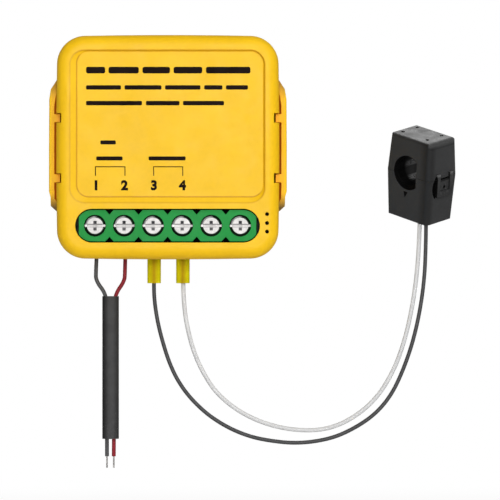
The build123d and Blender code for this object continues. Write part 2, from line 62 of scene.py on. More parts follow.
# ------------------------------------------------------------------ material tools
class Mat:
    """A Principled material with object-space procedural detail. Sizes are in millimetres."""

    def __init__(self, name):
        self.m = bpy.data.materials.new(name)
        self.m.use_nodes = True
        self.t = self.m.node_tree
        self.n, self.l = self.t.nodes, self.t.links
        self.b = self.n["Principled BSDF"]
        self.co = self.n.new("ShaderNodeTexCoord").outputs["Object"]

    def set(self, **kw):
        for k, v in kw.items():
            self.b.inputs[k.replace("_", " ")].default_value = v
        return self

    def noise(self, size_mm, detail=3.0, rough=0.5, stretch=(1, 1, 1), offset=0.0):
        mp = self.n.new("ShaderNodeMapping")
        mp.inputs["Scale"].default_value = [1000.0 / size_mm * s for s in stretch]
        mp.inputs["Location"].default_value = (offset, offset * 0.7, offset * 1.3)
        self.l.new(self.co, mp.inputs["Vector"])
        t = self.n.new("ShaderNodeTexNoise")
        t.inputs["Scale"].default_value = 1.0
        t.inputs["Detail"].default_value = detail
        t.inputs["Roughness"].default_value = rough
        self.l.new(mp.outputs[0], t.inputs["Vector"])
        return t.outputs["Fac"]

    def ramp(self, fac, stops):
        r = self.n.new("ShaderNodeValToRGB")
        e = r.color_ramp.elements
        while len(e) < len(stops):
            e.new(0.5)
        for el, (p, c) in zip(e, stops):
            el.position, el.color = p, (*c, 1.0) if len(c) == 3 else c
        self.l.new(fac, r.inputs["Fac"])
        return r.outputs["Color"]

    def rng(self, fac, a, b, lo, hi):
        r = self.n.new("ShaderNodeMapRange")
        for i, v in zip((1, 2, 3, 4), (a, b, lo, hi)):
            r.inputs[i].default_value = v
        self.l.new(fac, r.inputs[0])
        return r.outputs[0]

    def mix(self, fac, a, b, blend="MIX"):
        x = self.n.new("ShaderNodeMix")
        x.data_type, x.blend_type = "RGBA", blend
        for sock, v in ((x.inputs[0], fac), (x.inputs[6], a), (x.inputs[7], b)):
            if isinstance(v, bpy.types.NodeSocket):
                self.l.new(v, sock)
            elif isinstance(v, (int, float)):
                sock.default_value = v
            else:
                sock.default_value = (*v, 1.0)
        return x.outputs[2]

    def math(self, op, a, b=0.5):
        x = self.n.new("ShaderNodeMath")
        x.operation = op
        for sock, v in zip(x.inputs, (a, b)):
            if isinstance(v, bpy.types.NodeSocket):
                self.l.new(v, sock)
            else:
                sock.default_value = v
        return x.outputs[0]

    def axis(self, k):
        x = self.n.new("ShaderNodeSeparateXYZ")
        self.l.new(self.co, x.inputs[0])
        return x.outputs["XYZ".index(k)]

    def color(self, out):
        self.l.new(out, self.b.inputs["Base Color"])
        return self

    def rough(self, out):
        self.l.new(out, self.b.inputs["Roughness"])
        return self

    def local_mm(self, place=None):
        """Object coordinates in mm as x, y, z sockets, in the frame of place if given."""
        mp = self.n.new("ShaderNodeMapping")
        mp.vector_type = "TEXTURE"
        if place:
            mp.inputs["Location"].default_value = place[0]
            mp.inputs["Rotation"].default_value = place[1]
        mp.inputs["Scale"].default_value = (0.001, 0.001, 0.001)
        self.l.new(self.co, mp.inputs["Vector"])
        x = self.n.new("ShaderNodeSeparateXYZ")
        self.l.new(mp.outputs[0], x.inputs[0])
        return x.outputs[0], x.outputs[1], x.outputs[2]

    def dist(self, a, a0, b, b0):
        """Distance in a plane from the point a0, b0."""
        u, v = self.math("SUBTRACT", a, a0), self.math("SUBTRACT", b, b0)
        return self.math("SQRT", self.math("ADD", self.math("MULTIPLY", u, u), self.math("MULTIPLY", v, v)))

    def frame_dist(self, x, z, cx, cz, hx, hz, r):
        """Signed distance from the outline of a rounded rectangle."""
        qx = self.math("SUBTRACT", self.math("ABSOLUTE", self.math("SUBTRACT", x, cx)), hx - r)
        qz = self.math("SUBTRACT", self.math("ABSOLUTE", self.math("SUBTRACT", z, cz)), hz - r)
        px, pz = self.math("MAXIMUM", qx, 0.0), self.math("MAXIMUM", qz, 0.0)
        out = self.math("SQRT", self.math("ADD", self.math("MULTIPLY", px, px), self.math("MULTIPLY", pz, pz)))
        inn = self.math("MINIMUM", self.math("MAXIMUM", qx, qz), 0.0)
        return self.math("SUBTRACT", self.math("ADD", out, inn), r)

    def near(self, d, width):
        """1 where d is 0, falling to 0 at width."""
        return self.rng(self.math("ABSOLUTE", d), 0.0, width, 1.0, 0.0)

    def shade(self, fac, tint):
        """Multiplies the base colour by tint where fac is 1."""
        sock = self.b.inputs["Base Color"]
        self.color(self.mix(fac, sock.links[0].from_socket, tint, "MULTIPLY"))
        return self

    def bump(self, height, strength=0.3, dist_mm=0.05, radius_mm=None):
        bp = self.n.new("ShaderNodeBump")
        bp.inputs["Strength"].default_value = strength
        bp.inputs["Distance"].default_value = dist_mm / 1000
        self.l.new(height, bp.inputs["Height"])
        if radius_mm:
            bv = self.n.new("ShaderNodeBevel")
            bv.samples = 6
            bv.inputs["Radius"].default_value = radius_mm / 1000
            self.l.new(bv.outputs[0], bp.inputs["Normal"])
        self.l.new(bp.outputs[0], self.b.inputs["Normal"])
        return self


def plastic(name, dark, light, r_lo=0.32, r_hi=0.46, grain_mm=0.16, bump=0.12, bevel=0.12, spec=0.5, sss=0.0):
    """Moulded plastic: faint cloudy colour, spark-eroded grain, uneven gloss, softened edges."""
    m = Mat(name)
    cloud = m.noise(9.0, 4.0, 0.6)
    speck = m.noise(0.7, 2.0, 0.5, offset=3.0)
    base = m.ramp(cloud, [(0.3, dark), (0.7, light)])
    m.color(m.mix(0.05, base, m.ramp(speck, [(0.35, tuple(0.6 * c for c in dark)), (0.65, light)])))
    m.rough(m.rng(m.noise(2.4, 3.0, 0.6, offset=7.0), 0.3, 0.7, r_lo, r_hi))
    m.bump(m.noise(grain_mm, 2.0, 0.6, offset=1.0), bump, 0.03, bevel)
    m.set(Specular_IOR_Level=spec)
    if sss:
        m.set(Subsurface_Weight=sss, Subsurface_Scale=0.0015, Subsurface_Radius=(1.0, 0.5, 0.15))
    return m


def metal(name, dark, light, r_lo=0.18, r_hi=0.32, brush=(1, 1, 1), grain_mm=0.25, bump=0.08, bevel=0.05):
    """Bright metal with fine brushing and uneven gloss."""
    m = Mat(name)
    m.set(Metallic=1.0)
    fine = m.noise(grain_mm, 3.0, 0.6, brush)
    m.color(m.ramp(fine, [(0.3, dark), (0.7, light)]))
    m.rough(m.rng(m.noise(1.1, 3.0, 0.6, offset=5.0), 0.3, 0.7, r_lo, r_hi))
    m.bump(fine, bump, 0.02, bevel)
    return m


# ------------------------------------------------------------------ materials
YELLOW = plastic("yellow_moulding", (0.90, 0.525, 0.004), (0.98, 0.585, 0.006), 0.40, 0.54, 0.14, 0.10, 0.12, 0.25)
YELLOW_CLIP = plastic("yellow_clip", (0.88, 0.520, 0.002), (0.96, 0.590, 0.004), 0.40, 0.52, 0.14, 0.10, 0.08, 0.18)
YELLOW_BACK = plastic("yellow_cover", (0.84, 0.46, 0.008), (0.92, 0.51, 0.010), 0.44, 0.58, 0.18, 0.16, 0.12, 0.30)
GREEN = plastic("green_moulding", (0.007, 0.255, 0.040), (0.012, 0.315, 0.056), 0.40, 0.54, 0.20, 0.12, 0.06, 0.15)
CLAMP = plastic("clamp_case_black", (0.0310, 0.0315, 0.0320), (0.0395, 0.0400, 0.0405), 0.50, 0.64, 0.15, 0.30, 0.10, 0.26)
LATCH = plastic("clamp_latch_black", (0.018, 0.018, 0.0185), (0.030, 0.030, 0.0305), 0.42, 0.54, 0.13, 0.3, 0.06, 0.30)
BLACK = plastic("black_moulding", (0.004, 0.003, 0.003), (0.007, 0.006, 0.006), 0.5, 0.65, spec=0.05)
# painted shade: a near-black material for the faces far in the terminal block
BLOCK_PIT_SHADE = plastic("block_pit_painted_shade", (0.0012, 0.0016, 0.0013), (0.0022, 0.0028, 0.0023), 0.6, 0.75, spec=0.03)
SCREW = metal("screw_plated", (0.50, 0.485, 0.475), (0.64, 0.62, 0.605), 0.44, 0.58, (1, 1, 1), 0.12, 0.08, 0.05)
SCREW.set(Metallic=0.5)
CAGE = metal("cage_zinc", (0.50, 0.50, 0.48), (0.66, 0.66, 0.64), 0.3, 0.45, (1, 8, 1))
BRASS = metal("contact_brass", (0.60, 0.44, 0.20), (0.72, 0.55, 0.28), 0.25, 0.4, (1, 1, 6))
TINNED = metal("tinned_strands", (0.05, 0.045, 0.04), (0.80, 0.77, 0.74), 0.30, 0.44, (2, 2, 1), 0.45, 0.6, 0.02)
STEEL = metal("steel_pin", (0.55, 0.55, 0.55), (0.72, 0.72, 0.72), 0.25, 0.4, (1, 1, 1))
COPPER = metal("enamelled_wire", (0.45, 0.14, 0.04), (0.70, 0.26, 0.08), 0.18, 0.3, (1, 1, 9), 0.35, 0.8, 0.03)
BOARD = plastic("board_green", (0.010, 0.070, 0.025), (0.016, 0.105, 0.040), 0.28, 0.4, 0.3, 0.15, 0.05)
FERRITE = plastic("ferrite", (0.018, 0.018, 0.020), (0.035, 0.035, 0.038), 0.5, 0.7, 0.10, 0.5, 0.1)
CAP_SLEEVE = plastic("capacitor_sleeve", (0.012, 0.014, 0.035), (0.018, 0.022, 0.050), 0.2, 0.3)
FILM = plastic("film_capacitor", (0.55, 0.36, 0.03), (0.66, 0.45, 0.05), 0.3, 0.42)
VARISTOR = plastic("varistor_coat", (0.012, 0.055, 0.22), (0.018, 0.08, 0.30), 0.3, 0.45)
RESISTOR = plastic("resistor_coat", (0.09, 0.12, 0.07), (0.13, 0.17, 0.10), 0.5, 0.65)
CHIP = plastic("chip_epoxy", (0.008, 0.008, 0.008), (0.014, 0.014, 0.014), 0.5, 0.65)
CAN = metal("shield_can", (0.60, 0.60, 0.58), (0.75, 0.75, 0.73), 0.25, 0.4, (6, 1, 1))
LAMP = plastic("lamp_lens", (0.70, 0.70, 0.62), (0.80, 0.80, 0.72), 0.12, 0.2)
# painted shade: the light pipe is near-black so the pinholes read dark
PIPE_PAINTED_SHADE = plastic("light_pipe", (0.004, 0.002, 0.002), (0.006, 0.004, 0.003), 0.4, 0.5, spec=0.05)
INK = plastic("printed_ink", (0.005, 0.002, 0.001), (0.010, 0.004, 0.002), 0.45, 0.6, 0.10, 0.05, None, 0.05)


def panel_edge_shade(m):
    """Painted shade: thin dark lines where the face panel's walls meet the rim and the panel, and dark walls in the
    block's opening.
    """
    x, y, z = m.local_mm()
    front = m.rng(y, -17.2, -17.5, 0.0, 1.0)
    rim = m.near(m.math("ADD", m.frame_dist(x, z, -0.04, 3.58, 17.07, 13.37, 2.6), 0.05), 0.24)
    floor_line = m.near(m.frame_dist(x, z, 0.415, 3.99, 16.295, 12.7, 2.1), 0.20)
    steep = m.math("MAXIMUM", m.rng(z, 15.6, 16.3, 0.0, 1.0), m.rng(x, 15.9, 16.5, 0.0, 1.0))
    gentle = m.math("MAXIMUM", m.rng(z, -7.6, -8.3, 0.0, 1.0), m.rng(x, -14.9, -15.6, 0.0, 1.0))
    # painted shade: a dark line at the rim, heavier on the top and right walls, and one at the panel floor's edge,
    # heavier on the left and bottom
    m.shade(m.math("MULTIPLY", m.math("MULTIPLY", rim, front), m.rng(steep, 0.0, 1.0, 0.40, 0.60)), (0.56, 0.36, 0.14))
    m.shade(m.math("MULTIPLY", m.math("MULTIPLY", floor_line, front), m.rng(gentle, 0.0, 1.0, 0.18, 0.85)), (0.56, 0.36, 0.14))
    # painted shade: the walls inside the opening over the terminals and inside the notches darkened
    recess_shade = m.math("MULTIPLY", m.rng(y, -17.6, -16.9, 0.0, 1.0), m.rng(m.frame_dist(x, z, 0.0, -13.75, 16.14, 2.96, 2.94), -0.02, 0.02, 1.0, 0.0))
    m.shade(recess_shade, (0.05, 0.03, 0.02))


panel_edge_shade(YELLOW)


def clip_shade_and_tint(m):
    """Painted shade at the ends of the sprung bows, a painted highlight left along the bows' outer edge, and an orange
    cast on the prongs.
    """
    x, y, z = m.local_mm()
    edge = m.rng(y, -14.0, -15.1, 0.25, 1.0)
    # painted shade: the bows' front darkened towards the bottom ends, less towards the top ends
    m.shade(m.math("MULTIPLY", edge, m.rng(z, -8.0, -10.6, 0.0, 1.0)), (0.13, 0.13, 0.08))
    m.shade(m.math("MULTIPLY", edge, m.rng(z, 8.4, 11.0, 0.0, 1.0)), (0.44, 0.44, 0.26))
    # painted highlight: all but the outer edge of the bow taken more orange, leaving the outer edge yellower
    m.shade(m.rng(m.math("ABSOLUTE", x), 20.50, 20.35, 0.0, 1.0), (1.0, 0.87, 1.0))
    m.shade(m.rng(m.math("ABSOLUTE", x), 19.7, 19.4, 0.0, 1.0), (1.0, 0.90, 1.0))


clip_shade_and_tint(YELLOW_CLIP)
# painted glow: a warm brown emitting material for the faces at the gaps by the clips, standing in for light through the
# thin yellow plastic; there is no lamp there
YELLOW_GAP_GLOW = plastic("yellow_gap_painted_glow", (0.50, 0.17, 0.010), (0.62, 0.22, 0.014), 0.5, 0.6, 0.14, 0.10, None, 0.1)
YELLOW_GAP_GLOW.set(Emission_Color=(0.55, 0.15, 0.010, 1.0), Emission_Strength=0.24)


def block_recess_shade(m):
    """Painted shade below the front of the moulding: in the notches, the screw wells and round the ends."""
    x, y, z = m.local_mm()
    recess_shade = m.math("MULTIPLY", m.rng(y, -17.38, -17.15, 0.0, 1.0), m.rng(z, -17.3, -16.9, 0.0, 1.0))
    m.shade(recess_shade, (0.03, 0.03, 0.03))


block_recess_shade(GREEN)


def screw_painted_light(m):
    """Painted light on the heads: the face and slot stay bright, the chamfer round them is painted green-black for the
    shade in the gap and the green block around, with a painted glint at its upper left, painted shade lines along the
    slot's edges and painted shade in the cross recess.
    """
    x, y, z = m.local_mm()
    u = m.math("SUBTRACT", m.math("MODULO", m.math("ADD", x, 15.24 + 50.8), 5.08), 2.54)
    w = m.math("ADD", z, 13.75)
    r = m.dist(u, 0.0, w, 0.0)
    slot = m.rng(m.math("ABSOLUTE", w), 0.20, 0.23, 1.0, 0.0)
    # painted shade: the chamfer ring darkened green-black, except across the slot
    ring = m.math("MULTIPLY", m.rng(r, 1.38, 1.44, 0.0, 1.0), m.math("SUBTRACT", 1.0, slot))
    m.shade(ring, (0.030, 0.075, 0.040))
    # painted highlight: a white glint on the chamfer's upper left
    glint = m.math("MULTIPLY", m.near(m.math("SUBTRACT", r, 1.58), 0.16), m.rng(m.math("SUBTRACT", w, u), 1.2, 1.7, 0.0, 1.0))
    m.color(m.mix(glint, m.b.inputs["Base Color"].links[0].from_socket, (1.0, 1.0, 1.0)))
    # painted shade: a dark line along the slot's upper edge and a fainter one along its lower edge
    m.shade(m.math("MULTIPLY", m.near(m.math("SUBTRACT", w, 0.26), 0.12), m.rng(r, 1.30, 1.40, 1.0, 0.0)), (0.22, 0.21, 0.23))
    m.shade(m.math("MULTIPLY", m.near(m.math("ADD", w, 0.27), 0.08), m.rng(r, 1.30, 1.40, 1.0, 0.0)), (0.60, 0.58, 0.61))
    # painted shade in the cross recess, a little less at its bottom arm
    recess = m.math("MULTIPLY", m.rng(m.math("ABSOLUTE", u), 0.27, 0.30, 1.0, 0.0), m.rng(m.math("ABSOLUTE", w), 0.30, 0.36, 0.0, 1.0))
    recess = m.math("MULTIPLY", recess, m.rng(m.math("ABSOLUTE", w), 0.80, 0.86, 1.0, 0.0))
    m.shade(m.math("MULTIPLY", recess, m.rng(w, -0.2, 0.2, 0.86, 1.0)), (0.06, 0.06, 0.07))


screw_painted_light(SCREW)

# the clamp's own frame: its place, and its turn, tilt and lean
CLAMP_AT = Vector((0.0448, -0.008, -0.00485))
CLAMP_TURN = (Matrix.Rotation(math.radians(1.9), 3, "Y") @ Matrix.Rotation(math.radians(20.5), 3, "X")
              @ Matrix.Rotation(math.radians(-44.5), 3, "Z")).to_euler("XYZ")


def clamp_painted_light(m):
    """Painted light on the case: painted shade on the near upright corner and under the top edge, a cool tint on the
    bore-side face against the yellow bounce, a painted highlight band over a painted shade line on the latch side's top
    edge, and the top face painted lighter, broken by noise.
    """
    x, y, z = m.local_mm((CLAMP_AT, CLAMP_TURN))

    def base():
        return m.b.inputs["Base Color"].links[0].from_socket

    side = m.math("ABSOLUTE", z)
    half_w = m.math("SUBTRACT", 5.025, m.math("MULTIPLY", side, 0.049))
    half_d = m.math("SUBTRACT", 3.61, m.math("MULTIPLY", side, 0.047))
    corner = m.math("SUBTRACT", m.math("DIVIDE", x, half_w), m.math("DIVIDE", y, half_d))
    # painted shade: the near upright corner darkened
    m.shade(m.rng(corner, 1.50, 1.83, 0.0, 0.80), (0.28, 0.28, 0.28))
    # painted shade: a dark line just under the top edge
    m.shade(m.math("MULTIPLY", m.near(m.math("SUBTRACT", z, 7.36), 0.30), 0.55), (0.35, 0.35, 0.35))
    # painted: a cool tint on the bore-side face that cancels the yellow light bounced from the module
    m.shade(m.rng(y, -3.25, -3.10, 1.0, 0.0), (0.90, 0.97, 1.06))
    latch_side = m.rng(x, 4.0, 4.25, 0.0, 1.0)
    # painted highlight: a lighter band along the latch side's top edge, with a painted shade line under it
    m.color(m.mix(m.math("MULTIPLY", latch_side, m.rng(z, 6.85, 7.25, 0.0, 0.8)), base(), (0.062, 0.062, 0.062)))
    m.shade(m.math("MULTIPLY", latch_side, m.near(m.math("SUBTRACT", z, 6.66), 0.20)), (0.55, 0.55, 0.55))
    # painted light: the top face painted lighter, broken by noise
    top = m.rng(z, 7.50, 7.66, 0.0, 1.0)
    top_light = m.math("MULTIPLY", top, m.rng(m.noise(0.5, 4.0, 0.7, offset=9.0), 0.3, 0.7, 0.7, 1.0))
    m.color(m.mix(top_light, base(), (0.060, 0.060, 0.060)))


def bore_painted_light(m):
    """Painted light in the bore: near-black towards the mouth for the shade there, lighter towards the back where light
    comes in, and painted highlights on the ribs at the back.
    """
    x, y, z = m.local_mm((CLAMP_AT, CLAMP_TURN))
    # painted light: the back of the bore painted lighter, most at mid height
    grey = m.math("MULTIPLY", m.rng(y, -0.9, 1.0, 0.0, 1.0), m.rng(m.math("ABSOLUTE", m.math("SUBTRACT", z, 1.0)), 1.2, 2.6, 1.0, 0.15))
    m.color(m.mix(grey, m.b.inputs["Base Color"].links[0].from_socket, (0.060, 0.060, 0.060)))
    # painted highlights on the two ribs, growing towards the back
    for cx, cz, tone in ((-3.624, 1.57, 0.32), (-2.454, -1.08, 0.48)):
        rib_highlight = m.rng(m.dist(x, cx, z, cz), 0.40, 0.80, 1.0, 0.0)
        rib_highlight = m.math("MULTIPLY", rib_highlight, m.rng(y, -0.9, 1.5, 0.0, 1.0))
        m.color(m.mix(rib_highlight, m.b.inputs["Base Color"].links[0].from_socket, (tone, tone, tone)))


def latch_painted_light_and_flecks(m):
    """Painted light on the latch: prongs painted lighter than the plate with painted highlights on their tops, painted
    shade on the prongs' left side, along where they stand off the plate, in the gap between them and in the plate's
    small hole, and light random flecks on the plate.
    """
    x, y, z = m.local_mm((CLAMP_AT, CLAMP_TURN))
    prong = m.math("MAXIMUM", m.rng(y, -0.87, -0.93, 0.0, 1.0), m.rng(y, 1.46, 1.52, 0.0, 1.0))
    # painted light: prongs lighter than the plate, and painted highlights on their tops
    m.color(m.mix(m.math("MULTIPLY", prong, m.rng(z, -1.2, 0.4, 0.0, 1.0)), m.b.inputs["Base Color"].links[0].from_socket, (0.036, 0.036, 0.036)))
    m.color(m.mix(m.math("MULTIPLY", prong, m.rng(z, 1.35, 1.75, 0.0, 0.9)), m.b.inputs["Base Color"].links[0].from_socket, (0.14, 0.14, 0.14)))
    # painted shade on the prongs' left side
    m.shade(m.math("MULTIPLY", m.rng(y, -1.60, -1.64, 0.0, 1.0), m.rng(z, 1.7, 1.3, 0.0, 1.0)), (0.04, 0.04, 0.04))
    fleck = m.math("MULTIPLY", m.rng(m.noise(0.35, 2.0, 0.6, offset=11.0), 0.56, 0.66, 0.0, 0.6), m.math("SUBTRACT", 1.0, prong))
    m.color(m.mix(fleck, m.b.inputs["Base Color"].links[0].from_socket, (0.065, 0.065, 0.065)))
    # painted shade along where the prongs stand off the plate
    for y0 in (-0.87, 1.52):
        line = m.math("MULTIPLY", m.near(m.math("SUBTRACT", y, y0), 0.14), m.rng(z, -1.35, -1.1, 0.0, 1.0))
        m.shade(line, (0.15, 0.15, 0.15))
    # painted shade in the gap at the plate's top, between the prongs
    between = m.math("MULTIPLY", m.rng(y, -0.84, -0.80, 0.0, 1.0), m.rng(y, 1.45, 1.49, 1.0, 0.0))
    m.shade(m.math("MULTIPLY", between, m.rng(z, 0.34, 0.52, 0.0, 1.0)), (0.04, 0.04, 0.04))
    # painted shade in the plate's small hole
    spot = m.rng(m.dist(y, 0.25, z, -0.65), 0.30, 0.42, 1.0, 0.0)
    m.shade(spot, (0.02, 0.02, 0.02))


# painted shade: a near-black material for the clamp's pits
CLAMP_PIT_SHADE = plastic("clamp_pit_painted_shade", (0.0012, 0.0012, 0.0012), (0.0022, 0.0022, 0.0022), 0.6, 0.75, spec=0.10)
# near-black bore material: painted shade; its painted light at the back comes from the bore function below
CLAMP_BORE_PAINTED = plastic("clamp_bore_painted_light", (0.0012, 0.0012, 0.0012), (0.0022, 0.0022, 0.0022), 0.6, 0.75, spec=0.06)
clamp_painted_light(CLAMP)
bore_painted_light(CLAMP_BORE_PAINTED)
latch_painted_light_and_flecks(LATCH)


def cord_skin(name, dark, light, r_lo, r_hi, spec=0.5):
    """Extruded wire cover: slight cloudy mottling and a waxy sheen."""
    m = Mat(name)
    streak = m.noise(1.6, 4.0, 0.6, (1, 1, 1))
    fine = m.noise(0.10, 2.0, 0.5, offset=2.0)
    m.color(m.mix(0.18, m.ramp(streak, [(0.3, dark), (0.7, light)]), m.ramp(fine, [(0.3, dark), (0.7, light)])))
    m.rough(m.rng(m.noise(0.8, 3.0, 0.6, offset=4.0), 0.3, 0.7, r_lo, r_hi))
    m.bump(fine, 0.12, 0.02)
    m.set(Specular_IOR_Level=spec)
    return m


CORE_DARK = cord_skin("core_cover_dark", (0.070, 0.070, 0.072), (0.095, 0.095, 0.098), 0.40, 0.55, 0.3)
CORE_RED = cord_skin("core_cover_red", (0.235, 0.011, 0.019), (0.31, 0.016, 0.028), 0.40, 0.55, 0.25)
LEAD_DARK = cord_skin("lead_cover_dark", (0.052, 0.052, 0.054), (0.072, 0.072, 0.074), 0.40, 0.55, 0.3)
LEAD_LIGHT = cord_skin("lead_cover_light", (0.66, 0.66, 0.66), (0.76, 0.76, 0.76), 0.40, 0.55, 0.3)
SHEATH = cord_skin("sheath_black", (0.056, 0.056, 0.057), (0.072, 0.072, 0.073), 0.50, 0.64, 0.10)


def sheath_side_shade(m):
    """Painted shade along both sides of the flat-lying sheath, right a little less than left."""
    x, y, z = m.local_mm()
    off = m.math("SUBTRACT", x, -10.24)
    m.shade(m.rng(off, -0.35, -1.30, 0.0, 1.0), (0.28, 0.28, 0.28))
    m.shade(m.rng(off, 0.55, 1.35, 0.0, 1.0), (0.50, 0.50, 0.50))


sheath_side_shade(SHEATH)


def sleeve_material():
    """Translucent yellow ferrule sleeve, browner where the metal barrel shows through."""
    m = Mat("ferrule_sleeve")
    cloud = m.noise(1.5, 3.0, 0.6)
    m.color(m.ramp(cloud, [(0.3, (0.70, 0.64, 0.004)), (0.7, (0.80, 0.74, 0.006))]))
    x, y, z = m.local_mm()
    barrel = m.rng(m.math("ABSOLUTE", m.math("SUBTRACT", m.math("ABSOLUTE", x), 2.54)), 0.05, 0.80, 1.0, 0.0)
    m.shade(barrel, (0.66, 0.46, 0.50))
    m.rough(m.rng(m.noise(0.6, 3.0, 0.6, offset=4.0), 0.3, 0.7, 0.60, 0.74))
    m.bump(m.noise(0.15, 2.0, 0.6), 0.12, 0.02, 0.06)
    m.set(Subsurface_Weight=0.25, Subsurface_Scale=0.0006, Subsurface_Radius=(1.0, 0.8, 0.2), Specular_IOR_Level=0.08)
    return m


SLEEVE = sleeve_material()


def paint(node, mat):
    o = N[node]
    o.data.materials.clear()
    o.data.materials.append(mat.m)
    for p in o.data.polygons:
        p.material_index = 0


for names, mat in (
    (["front_shell"], YELLOW), (["rear_cover"], YELLOW_BACK), (["side_clip_left", "side_clip_right"], YELLOW_CLIP),
    (["terminal_block"], GREEN), (["terminal_contacts"], BRASS),
    ([f"terminal_cage_{i}" for i in range(1, 7)], CAGE), ([f"terminal_screw_{i}" for i in range(1, 7)], SCREW),
    (["main_pcb", "radio_board"], BOARD), (["transformer_core", "ct_core_lower", "ct_core_upper"], FERRITE),
    (["transformer_bobbin", "ct_bobbin", "reset_switch", "reset_plunger"], BLACK),
    (["transformer_winding", "ct_winding", "radio_antenna"], COPPER),
    (["bulk_capacitor", "output_capacitor"], CAP_SLEEVE), (["safety_capacitor"], FILM), (["varistor"], VARISTOR),
    (["fusible_resistor"], RESISTOR), (["power_ic", "metering_ic"], CHIP), (["radio_shield"], CAN),
    (["status_leds"], LAMP), (["light_pipe"], PIPE_PAINTED_SHADE), (["ct_base_case", "ct_jaw_case"], CLAMP), (["ct_latch"], LATCH),
    (["ct_hinge_pin", "ferrule_pin_1", "ferrule_pin_2"], STEEL),
    (["ferrule_sleeve_1", "ferrule_sleeve_2"], SLEEVE), (["cable_sheath"], SHEATH),
    (["live_conductor", "neutral_conductor"], TINNED),
):
    for n in names:
        paint(n, mat)

# painted shade and glow: faces far in the terminal block take a near-black material for the shade in them, and the
# ledges behind the clips a warm glowing one, painted light for light shining through the thin yellow plastic
me = N["terminal_block"].data
me.materials.append(BLOCK_PIT_SHADE.m)
for f in me.polygons:
    if f.center.y > -0.01728 and f.center.z > -0.0172:
        f.material_index = 1
me = N["front_shell"].data
me.materials.append(YELLOW_GAP_GLOW.m)
for f in me.polygons:
    if abs(f.center.x) > 0.0186 and abs(f.center.z) < 0.0099 and -0.00445 < f.center.y < -0.0043:
        f.material_index = 1

# the clips' inner faces by the gap take the same painted glow
for n in ("side_clip_left", "side_clip_right"):
    me = N[n].data
    me.materials.append(YELLOW_GAP_GLOW.m)
    for f in me.polygons:
        if f.normal.x * f.center.x < -0.5 * abs(f.center.x) and 0.0194 < abs(f.center.x) < 0.0200:
            f.material_index = 1

# painted shade: the clamp's pits (window mouth, thumb scoop, arrow, top holes, latch seat) take a near-black material,
# face by face, for the shade in them
TO_CLAMP = CLAMP_TURN.to_matrix().transposed()


def in_pit(c, n):
    """Whether a face of the clamp, at c mm with normal n in the clamp's own frame, lies in a pit that takes the painted
    shade.
    """
    if math.hypot(c.x + 0.23, c.z - 1.27) < 3.135 and c.x < 1.94 and c.y < -0.85:
        return True                                  # window mouth and the first of the bore
    if c.x > 4.2 and c.y < -1.5 and math.hypot(c.y - 0.62, c.z + 0.55) < 3.11 and c.x < 4.95:
        return True                                  # thumb scoop
    if -1.05 < c.x < 0.12 and -3.52 < c.z < -2.25 and -3.42 < c.y < -2.9:
        return True                                  # arrow
    if c.z > 7.0 and n.z < 0.5 and min(math.hypot(c.x - hx, c.y - hy) for hx in (-3.45, 2.4) for hy in (-1.55, 2.15)) < 0.34:
        return True                                  # walls of the top holes
    if abs(c.z - 0.9) < 0.06 and abs(n.z) > 0.9:
        return True                                  # mating faces of the two halves
    if 7.1 < c.z < 7.3 and n.z > 0.9:
        return True                                  # their floors
    return 4.3 < c.x < 4.9 and -1.75 < c.y < 2.4 and -2.4 < c.z < 2.0


for n in ("ct_base_case", "ct_jaw_case"):
    me = N[n].data
    me.materials.append(CLAMP_PIT_SHADE.m)
    me.materials.append(CLAMP_BORE_PAINTED.m)
    for f in me.polygons:
        c, normal = TO_CLAMP @ ((f.center - CLAMP_AT) * 1000), TO_CLAMP @ f.normal
        # the bore's wall takes the bore material with its painted shade and highlights
        if abs(normal.y) < 0.9 and -0.9 < c.y < 3.65 and 2.2 < math.hypot(c.x + 0.72, c.z - 1.27) < 2.7:
            f.material_index = 2
        elif in_pit(c, normal):
            f.material_index = 1


# ------------------------------------------------------------------ cords
LIVE = [(-12.62, -10.4, -17.5), (-12.86, -10.4, -21.9), (-12.80, -10.4, -23.5), (-10.98, -10.4, -25.9),
        (-10.97, -10.4, -29.1), (-10.88, -10.3, -54.45)]
NEUTRAL = [(-7.6, -10.4, -17.5), (-7.70, -10.4, -21.9), (-7.78, -10.4, -23.5), (-9.50, -10.4, -25.9),
           (-9.52, -10.4, -29.1), (-9.68, -10.3, -54.45)]
DARK = [(-2.54, -10.4, -20.3), (-2.62, -10.4, -23.9), (-2.46, -10.5, -27.6), (-1.57, -10.8, -32.46),
        (0.35, -11.2, -38.65), (2.76, -11.5, -42.87), (6.13, -11.8, -46.41), (9.52, -12.0, -48.76),
        (12.88, -12.0, -50.38), (16.59, -12.0, -51.46), (22.67, -11.9, -52.18), (28.74, -11.7, -51.31),
        (33.14, -11.4, -49.3), (36.64, -11.1, -46.86), (39.3, -10.8, -43.7), (41.26, -10.5, -39.73),
        (43.1, -10.0, -34.67), (44.45, -9.2, -29.11), (45.33, -8.3, -23.2), (45.62, -7.76, -17.3),
        (45.57, -9.49, -12.6)]
LIGHT = [(2.54, -10.4, -20.3), (2.58, -10.4, -23.9), (2.72, -10.3, -27.4), (3.15, -10.1, -31.0),
         (4.25, -9.8, -35.5), (5.9, -9.5, -39.42), (8.56, -9.2, -43.59), (13.16, -8.9, -47.14),
         (18.64, -8.7, -49.35), (24.4, -8.6, -50.12), (29.11, -8.5, -49.54), (33.55, -8.4, -47.26),
         (37.28, -8.3, -43.8), (40.08, -8.1, -39.02), (41.88, -7.9, -33.97), (43.2, -7.6, -28.26),
         (44.02, -7.2, -22.61), (44.46, -7.03, -17.0), (44.51, -8.77, -12.3)]


